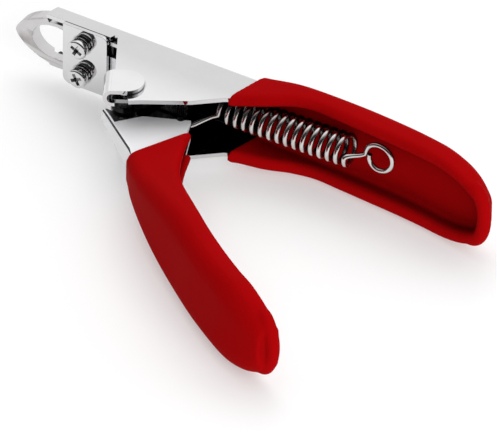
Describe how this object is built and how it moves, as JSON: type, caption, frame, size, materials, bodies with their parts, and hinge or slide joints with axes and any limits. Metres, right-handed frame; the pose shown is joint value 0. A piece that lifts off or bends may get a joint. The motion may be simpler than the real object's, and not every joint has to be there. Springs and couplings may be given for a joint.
{
  "type": "guillotine pet nail clipper",
  "caption": "Plier-style guillotine nail clipper for pets: a lever slides a blade across a fixed nail ring, with a return spring and vinyl-dipped handles.",
  "frame": {"origin": "middle of the clipper's footprint, on the plane of the lower rims of its two grips", "axes": "+X from the nail ring towards the end of the upper handle, +Y from the lower handle towards the upper handle's spine, +Z along the pivot pin, across the handles' width"},
  "size_m": [0.1448, 0.0902, 0.0254],
  "materials": {
    "chrome": "polished nickel-chrome plate",
    "ring_steel": "tumbled and plated, satin",
    "blade_steel": "ground",
    "screw_steel": "bright plated",
    "pin_steel": "turned",
    "spring_steel": "drawn wire, plated",
    "red_vinyl": "satin dipped vinyl"
  },
  "bodies": {
    "frame": {"frame": "chrome", "upper_grip": "red_vinyl", "cutting_ring": "ring_steel", "cover_plate": "chrome", "cover_screw_upper": "screw_steel", "cover_screw_lower": "screw_steel", "lock_washer_upper": "screw_steel", "lock_washer_lower": "screw_steel", "pivot_pin": "pin_steel", "return_spring": "spring_steel"},
    "lever": {"lever": "chrome", "lower_grip": "red_vinyl", "hinge_hook": "chrome", "spring_pin": "pin_steel", "pivot_bush_upper": "pin_steel", "pivot_bush_lower": "pin_steel"},
    "blade": {"blade": "blade_steel"}
  },
  "joints": [
    {"name": "lever_hinge", "type": "hinge", "parent": "frame", "child": "lever", "pos_m": [-0.029, 0.0221, 0.0127], "axis": [0, 0, 1], "range_deg": [0, 36], "stiffness_Nm_per_rad": 0.6, "springref_deg": -14.32, "deforming": ["return_spring"]},
    {"name": "blade_slide", "type": "slide", "parent": "frame", "child": "blade", "axis": [-1, 0, 0], "range_m": [0, 0.01]}
  ],
  "couplings": [
    {"joint": "blade_slide", "follows": "lever_hinge", "m_per_rad": 0.0157}
  ]
}
